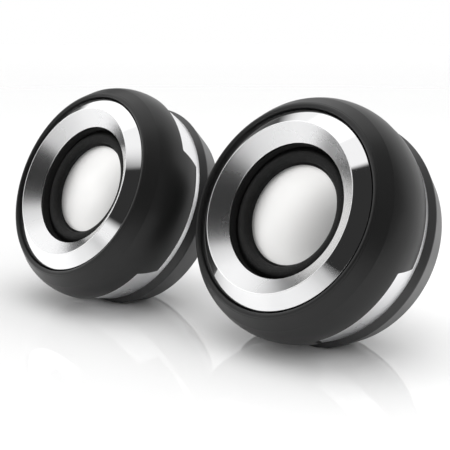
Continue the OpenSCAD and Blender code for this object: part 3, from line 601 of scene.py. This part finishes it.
def spider_rings(side):
    """Corrugated spider as narrow rings."""
    first, last = SPIDER_IN + SPIDER_FLAT, SPIDER_OUT - 2 * SPIDER_FLAT
    gap = 0.01
    rings = []
    for k in range(SPIDER_RINGS):
        low, high = (first + (last - first) * (k + i) / SPIDER_RINGS for i in (0, 1))
        radii = list(np.linspace(low + gap, high - gap, 5))
        if k == 0:
            radii.insert(0, SPIDER_IN)
        if k == SPIDER_RINGS - 1:
            radii.append(SPIDER_OUT)

        def level(r):
            phase = min(1.0, max(0.0, (r - first) / (last - first)))
            return SPIDER_LEVEL + SPIDER_WAVE * math.sin(2 * math.pi * SPIDER_WAVES * phase)

        corners = [(r, level(r)) for r in radii] + [(r, level(r) - SPIDER_T) for r in reversed(radii)]
        ring = lathe(f"{side}_spider_ring_{k + 1}", corners, speaker_matrix(side), 128)
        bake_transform(ring)
        rings.append(ring)
    return rings


def volume_knob():
    """Fluted knob with rounded edges and a dimple that shows where it points."""
    m = speaker_matrix("right")
    per_flute = 10
    profile = rounded([(0, -KNOB_FRONT), (KNOB_R, -KNOB_FRONT, 0.3), (KNOB_R, -KNOB_BACK, 0.8),
                       (0, -KNOB_BACK)], False, 15)[0]
    rim = profile[1:-1]
    extra = [(KNOB_R, -KNOB_FRONT - x) for x in (0.9, 1.2, 2.4, 3.6, 4.6)]
    split = next(i for i, p in enumerate(rim) if p[1] < -KNOB_FRONT - 2)
    rim = np.vstack([rim[:split], extra, rim[split:]])
    count = FLUTES * per_flute
    rows = len(rim)
    points = []
    for c in range(count):
        theta = 2 * math.pi * c / count
        phase = (c % per_flute) / per_flute
        groove = max(0.0, math.cos(2 * math.pi * phase)) ** 2
        for r, z in rim:
            share = min(1.0, max(0.0, (-z - KNOB_FRONT - 0.8) / 0.6))
            depth = FLUTE_DEPTH * groove * share if r > KNOB_R - 0.9 else 0.0
            points.append(((r - depth) * math.cos(theta), (r - depth) * math.sin(theta), z))
    faces = grid_faces(count, rows, False)
    points += [(0, 0, -KNOB_FRONT), (0, 0, -KNOB_BACK)]
    for c in range(count):
        d = (c + 1) % count
        faces.append((count * rows, d * rows, c * rows))
        faces.append((count * rows + 1, c * rows + rows - 1, d * rows + rows - 1))
    points = np.array(points) + np.array([POT_AT[0], POT_AT[1], 0])
    knob = make_object("knob", points, faces, m)
    bore = prism("bore", disc(SHAFT_R, 48, POT_AT), 1.2 - KNOB_BACK, 1 - KNOB_FRONT, m)
    boolean(knob, bore)
    dimple_at = (POT_AT[0], POT_AT[1] + KNOB_R - 2.2)
    mark = prism("dimple", disc(DIMPLE_R, 32, dimple_at), -KNOB_BACK - 1, DIMPLE_DEPTH - KNOB_BACK, m)
    boolean(knob, mark)
    return knob


# Materials ------------------------------------------------------------------------------------------

def material(name, colour, shade, metallic=0.0, rough=(0.4, 0.5), mottle=60.0, grain=2500.0, bump=0.02,
             detail=3.0, speck=None, **sockets):
    """A procedural material: mottled colour, uneven roughness and a fine grain in the surface.
    bump is the grain's depth in millimetres, and speck scatters fine light points over it."""
    mat = bpy.data.materials.new(name)
    mat.use_nodes = True
    tree = mat.node_tree
    shader = tree.nodes["Principled BSDF"]
    place = tree.nodes.new("ShaderNodeTexCoord").outputs["Object"]

    def noise(scale, amount):
        node = tree.nodes.new("ShaderNodeTexNoise")
        node.inputs["Scale"].default_value = scale
        node.inputs["Detail"].default_value = amount
        tree.links.new(place, node.inputs["Vector"])
        return node.outputs["Fac"]

    broad, fine = noise(mottle, 4.0), noise(grain, detail)
    mix = tree.nodes.new("ShaderNodeMix")
    mix.data_type = "RGBA"
    mix.inputs["A"].default_value = (*colour, 1)
    mix.inputs["B"].default_value = (*shade, 1)
    tree.links.new(broad, mix.inputs["Factor"])
    result = mix.outputs["Result"]
    if speck:
        spread = tree.nodes.new("ShaderNodeMapRange")
        spread.inputs["From Min"].default_value = 0.6
        spread.inputs["From Max"].default_value = 0.78
        tree.links.new(fine, spread.inputs["Value"])
        points = tree.nodes.new("ShaderNodeMix")
        points.data_type = "RGBA"
        points.inputs["B"].default_value = (*speck, 1)
        tree.links.new(spread.outputs["Result"], points.inputs["Factor"])
        tree.links.new(result, points.inputs["A"])
        result = points.outputs["Result"]
    tree.links.new(result, shader.inputs["Base Color"])
    level = tree.nodes.new("ShaderNodeMapRange")
    level.inputs["From Min"].default_value = 0.3
    level.inputs["From Max"].default_value = 0.7
    level.inputs["To Min"].default_value, level.inputs["To Max"].default_value = rough
    tree.links.new(broad, level.inputs["Value"])
    tree.links.new(level.outputs["Result"], shader.inputs["Roughness"])
    if bump:
        relief = tree.nodes.new("ShaderNodeBump")
        relief.inputs["Strength"].default_value = 1.0
        relief.inputs["Distance"].default_value = bump * MM
        tree.links.new(fine, relief.inputs["Height"])
        tree.links.new(relief.outputs["Normal"], shader.inputs["Normal"])
    shader.inputs["Metallic"].default_value = metallic
    for socket, value in sockets.items():
        shader.inputs[socket.replace("_", " ")].default_value = value
    return mat


MATERIALS = {
    "soft_touch_black": material("soft_touch_black", (0.0115, 0.0115, 0.0115), (0.0095, 0.0095, 0.0095),
                                 rough=(0.34, 0.40), grain=5200, bump=0.004, Specular_IOR_Level=0.35),
    "rear_black": material("rear_black", (0.034, 0.034, 0.0345), (0.028, 0.028, 0.0285), rough=(0.34, 0.42),
                           grain=4200, bump=0.006),
    "panel_black": material("panel_black", (0.026, 0.026, 0.027), (0.020, 0.020, 0.021), rough=(0.45, 0.6),
                            grain=2400, bump=0.03),
    "satin_silver": material("satin_silver", (0.92, 0.92, 0.93), (0.87, 0.87, 0.88), 1.0, (0.26, 0.34), 90,
                             6000, 0.0015),
    "polished_silver": material("polished_silver", (0.93, 0.93, 0.94), (0.88, 0.88, 0.89), 1.0, (0.10, 0.14), 90,
                                6000, 0.0),
    "chrome_ring": material("chrome_ring", (0.86, 0.86, 0.865), (0.83, 0.83, 0.835), 1.0, (0.035, 0.06), 40,
                            3000, 0.0),
    "satin_chrome": material("satin_chrome", (0.78, 0.78, 0.785), (0.74, 0.74, 0.745), 1.0, (0.25, 0.29), 40,
                             3000, 0.0),
    "satin_aluminium": material("satin_aluminium", (0.93, 0.925, 0.915), (0.88, 0.875, 0.865), 0.88,
                                (0.36, 0.42), 70, 4200, 0.0045, 5.0),
    "surround_rubber": material("surround_rubber", (0.006, 0.006, 0.006), (0.010, 0.010, 0.010),
                                rough=(0.62, 0.75), mottle=400, grain=3600, bump=0.03, detail=4.0,
                                speck=(0.08, 0.08, 0.075), Specular_IOR_Level=0.3),
    "foam": material("foam", (0.006, 0.006, 0.006), (0.012, 0.012, 0.012), rough=(0.85, 1.0), mottle=500,
                     grain=2600, bump=0.12, detail=5.0),
    "gasket": material("gasket", (0.012, 0.012, 0.012), (0.018, 0.018, 0.018), rough=(0.8, 0.95)),
    "foot_rubber": material("foot_rubber", (0.016, 0.016, 0.016), (0.024, 0.024, 0.024), rough=(0.7, 0.85),
                            grain=1800, bump=0.04),
    "black_steel": material("black_steel", (0.030, 0.030, 0.032), (0.045, 0.045, 0.047), 0.3, (0.35, 0.5)),
    "zinc_steel": material("zinc_steel", (0.60, 0.61, 0.62), (0.46, 0.47, 0.49), 1.0, (0.28, 0.42), 300, 2200,
                           0.006),
    "ferrite": material("ferrite", (0.045, 0.045, 0.05), (0.030, 0.030, 0.034), 0.2, (0.5, 0.7), 200, 1500,
                        0.03),
    "copper_coil": material("copper_coil", (0.62, 0.25, 0.10), (0.45, 0.16, 0.06), 1.0, (0.25, 0.4), 400),
    "paper_cone": material("paper_cone", (0.035, 0.033, 0.030), (0.05, 0.048, 0.045), rough=(0.8, 0.95),
                           grain=900, bump=0.05),
    "spider_cloth": material("spider_cloth", (0.60, 0.44, 0.18), (0.48, 0.34, 0.13), rough=(0.8, 0.95),
                             grain=2200, bump=0.06),
    "phenolic": material("phenolic", (0.22, 0.11, 0.045), (0.16, 0.08, 0.03), rough=(0.45, 0.6)),
    "wire": material("wire", (0.30, 0.02, 0.02), (0.22, 0.015, 0.015), rough=(0.35, 0.5)),
    "jack_black": material("jack_black", (0.018, 0.018, 0.019), (0.026, 0.026, 0.027), rough=(0.3, 0.4),
                           bump=0.01),
    "circuit_board": material("circuit_board", (0.012, 0.09, 0.04), (0.02, 0.13, 0.06), rough=(0.3, 0.4),
                              mottle=500),
    "chip_black": material("chip_black", (0.015, 0.015, 0.015), (0.025, 0.025, 0.025), rough=(0.5, 0.6)),
    "capacitor_sleeve": material("capacitor_sleeve", (0.02, 0.03, 0.10), (0.03, 0.04, 0.14),
                                 rough=(0.25, 0.35)),
    "header_white": material("header_white", (0.75, 0.72, 0.62), (0.68, 0.65, 0.55), rough=(0.4, 0.5)),
    "pot_metal": material("pot_metal", (0.55, 0.55, 0.56), (0.42, 0.42, 0.43), 1.0, (0.3, 0.45), 300),
    "knob_black": material("knob_black", (0.022, 0.022, 0.023), (0.030, 0.030, 0.031), rough=(0.4, 0.5),
                           grain=3000, bump=0.015),
}


def dress(obj, slot_name, *more):
    """Gives a piece its materials."""
    for name in (slot_name, *more):
        obj.data.materials.append(MATERIALS[name])
    return obj


# Pieces ---------------------------------------------------------------------------------------------

for cad in frame["nodes"].values():
    slot_name = cad.data.materials[0].name.split(".")[0]
    cad.data.materials.clear()
    cad.data.materials.append(MATERIALS[slot_name])

for side in SIDES:
    body = side + "_speaker"
    for maker, node, slots in (
            (front_shell, "front_shell", ("soft_touch_black",)),
            (accent_band, "accent_band", ("satin_silver", "polished_silver")),
            (rear_shell, "rear_shell", ("rear_black",)),
            (back_panel, "back_panel", ("panel_black",)),
            (trim_ring, "trim_ring", ("chrome_ring", "satin_chrome")),
            (foot_pad, "foot_pad", ("foot_rubber",)),
            (foam_ring, "foam_ring", ("foam",)),
            (dome, "dome", ("satin_aluminium", "polished_silver"))):
        piece = dress(maker(side), *slots)
        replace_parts(piece, side + "_" + node)
        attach(piece, side + "_cone" if node == "dome" else body)
    for part in ("outer", "inner"):
        piece = dress(surround_half(side, part), "surround_rubber")
        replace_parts(piece, side + "_surround")
    for piece in spider_rings(side):
        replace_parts(dress(piece, "spider_cloth"), side + "_spider")

knob = dress(volume_knob(), "knob_black")
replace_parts(knob, "volume_knob")
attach(knob, "volume")


# Floor, light and camera ------------------------------------------------------------------------------

# Edges of the white areas that glossy surfaces see, each from where it starts to where it is full or from
# where it is full to where it ends: the ceiling panel's in metres across and along at one metre up, the left
# panel's front and rear edges as y over -x, and the others as a component of the direction
CEILING_LEFT, CEILING_RIGHT, CEILING_FRONT, CEILING_LEVEL = (-1.6, -0.85), (0.17, 0.23), (-1.15, -0.5), 1.05
CEILING_FOOT = (0.1, 0.3)
PANEL_FRONT_EDGE, PANEL_REAR_EDGE, PANEL_FOOT, PANEL_LEVEL = (-2.4, -0.9), (0.25, 0.34), (-0.05, 0.2), 1.3
WALL_SPREAD, WALL_TOP, WALL_TOP_LEVEL, WALL_MIDDLE = (0.05, 0.5), (0.10, 0.30), 0.15, (0.45, 0.75)
GLOW_TOP, GLOW_RIGHT, GLOW_REAR, GLOW_REAR_LEVEL = (0.04, 0.17), (0.12, 0.28), (0.30, 0.45), 0.4
ROOM_LEVEL, FILL_LEVEL, WHITE_LEVEL = 0.032, 1.08, 1.0
NEAR_LEVEL = 0.02

# Soft boxes: name, place, target, size in metres and radiance
SOFT_BOXES = (("overhead", (-0.12, 0.05, 0.70), (-0.12, 0.0, 0.0), (0.8, 0.8), 1.3),
              ("key", (-0.75, -0.62, 0.36), (-0.03, -0.03, 0.05), (0.55, 0.5), 0.9))

# The camera stands off the right ring's centre, in metres, and looks along an azimuth and down
CAMERA_OFFSET, CAMERA_AZIMUTH, CAMERA_PITCH = (0.2112, -0.2446, 0.0620), 44.4, 11.93
SENSOR_WIDTH, FOCAL_LENGTH = 36.0, 72.4


def floor():
    """A large pale glossy sheet."""
    mesh = bpy.data.meshes.new("floor")
    reach = 8.0
    mesh.from_pydata([(-reach, -reach, 0), (reach, -reach, 0), (reach, reach, 0), (-reach, reach, 0)], [],
                     [(0, 1, 2, 3)])
    obj = bpy.data.objects.new("floor", mesh)
    bpy.context.scene.collection.objects.link(obj)
    obj.data.materials.append(material("floor", (0.87, 0.87, 0.87), (0.86, 0.86, 0.86), rough=(0.03, 0.05),
                                       mottle=8, bump=0.0, Specular_IOR_Level=0.5))


def soft_box(name, place, target, size, strength):
    """Area light for the diffuse shading and the shadows. What glossy surfaces see is in the world."""
    light = bpy.data.lights.new(name, "AREA")
    light.shape = "RECTANGLE"
    light.size, light.size_y = size
    light.energy = strength * size[0] * size[1] * math.pi
    obj = bpy.data.objects.new(name, light)
    bpy.context.scene.collection.objects.link(obj)
    obj.location = place
    obj.rotation_euler = (Vector(target) - Vector(place)).to_track_quat("-Z", "Y").to_euler()
    obj.visible_glossy = False


def studio():
    """White for the camera and for diffuse light. Glossy surfaces see a dark room with a white ceiling panel,
    a tall panel on the left, a white wall behind and a glow along the floor's edge."""
    world = bpy.data.worlds.new("studio")
    bpy.context.scene.world = world
    world.use_nodes = True
    tree = world.node_tree
    tree.nodes.clear()
    new, link = tree.nodes.new, tree.links.new
    split = new("ShaderNodeSeparateXYZ")
    link(new("ShaderNodeTexCoord").outputs["Generated"], split.inputs[0])
    x, y, z = (split.outputs[axis] for axis in "XYZ")

    def ramp(source, low, high, a=0.0, b=1.0):
        node = new("ShaderNodeMapRange")
        node.interpolation_type = "SMOOTHSTEP"
        for socket, value in zip(("From Min", "From Max", "To Min", "To Max"), (low, high, a, b)):
            node.inputs[socket].default_value = value
        link(source, node.inputs["Value"])
        return node.outputs["Result"]

    def calc(operation, first, *others):
        result = first
        for other in others:
            node = new("ShaderNodeMath")
            node.operation = operation
            for socket, value in zip(node.inputs, (result, other)):
                if isinstance(value, float):
                    socket.default_value = value
                else:
                    link(value, socket)
            result = node.outputs[0]
        return result

    height = calc("MAXIMUM", z, NEAR_LEVEL)
    across, along = calc("DIVIDE", x, height), calc("DIVIDE", y, height)
    ceiling = calc("MULTIPLY", ramp(across, *CEILING_LEFT), ramp(across, *CEILING_RIGHT, 1, 0),
                   ramp(along, *CEILING_FRONT), ramp(z, *CEILING_FOOT), CEILING_LEVEL)
    leftward = calc("MAXIMUM", calc("MULTIPLY", x, -1.0), NEAR_LEVEL)
    bearing = calc("DIVIDE", y, leftward)
    panel = calc("MULTIPLY", ramp(bearing, *PANEL_FRONT_EDGE), ramp(bearing, *PANEL_REAR_EDGE, 1, 0),
                 ramp(z, *PANEL_FOOT), PANEL_LEVEL)
    wall = calc("MULTIPLY", ramp(y, *WALL_SPREAD), ramp(z, *WALL_TOP, 1, WALL_TOP_LEVEL))
    wall = calc("MAXIMUM", wall, ramp(y, *WALL_MIDDLE))
    glow = calc("MULTIPLY", ramp(z, *GLOW_TOP, 1, 0), ramp(x, *GLOW_RIGHT, 1, 0),
                ramp(bearing, *GLOW_REAR, 1, GLOW_REAR_LEVEL))
    level = calc("MAXIMUM", ceiling, panel, wall, glow, ROOM_LEVEL)
    path = new("ShaderNodeLightPath")
    gloss = new("ShaderNodeBackground")
    link(level, gloss.inputs["Strength"])
    fill = new("ShaderNodeBackground")
    fill.inputs["Strength"].default_value = FILL_LEVEL
    white = new("ShaderNodeBackground")
    white.inputs["Strength"].default_value = WHITE_LEVEL
    for node in (gloss, fill, white):
        node.inputs["Color"].default_value = (1, 1, 1, 1)
    first, second = new("ShaderNodeMixShader"), new("ShaderNodeMixShader")
    link(path.outputs["Is Diffuse Ray"], first.inputs[0])
    link(gloss.outputs[0], first.inputs[1])
    link(fill.outputs[0], first.inputs[2])
    link(path.outputs["Is Camera Ray"], second.inputs[0])
    link(first.outputs[0], second.inputs[1])
    link(white.outputs[0], second.inputs[2])
    link(second.outputs[0], new("ShaderNodeOutputWorld").inputs[0])


def camera():
    """Looks at the pair from the front right, a little above, with a long lens."""
    data = bpy.data.cameras.new("camera")
    data.sensor_width = SENSOR_WIDTH
    data.lens = FOCAL_LENGTH
    data.clip_start = 0.02
    obj = bpy.data.objects.new("camera", data)
    bpy.context.scene.collection.objects.link(obj)
    obj.location = ring_centre("right") + Vector(CAMERA_OFFSET)
    azimuth, pitch = math.radians(CAMERA_AZIMUTH), math.radians(CAMERA_PITCH)
    gaze = Vector((-math.sin(azimuth) * math.cos(pitch), math.cos(azimuth) * math.cos(pitch), -math.sin(pitch)))
    obj.rotation_euler = gaze.to_track_quat("-Z", "Y").to_euler()
    bpy.context.scene.camera = obj


floor()
for box in SOFT_BOXES:
    soft_box(*box)
studio()
camera()
bpy.context.scene.view_settings.view_transform = "Standard"
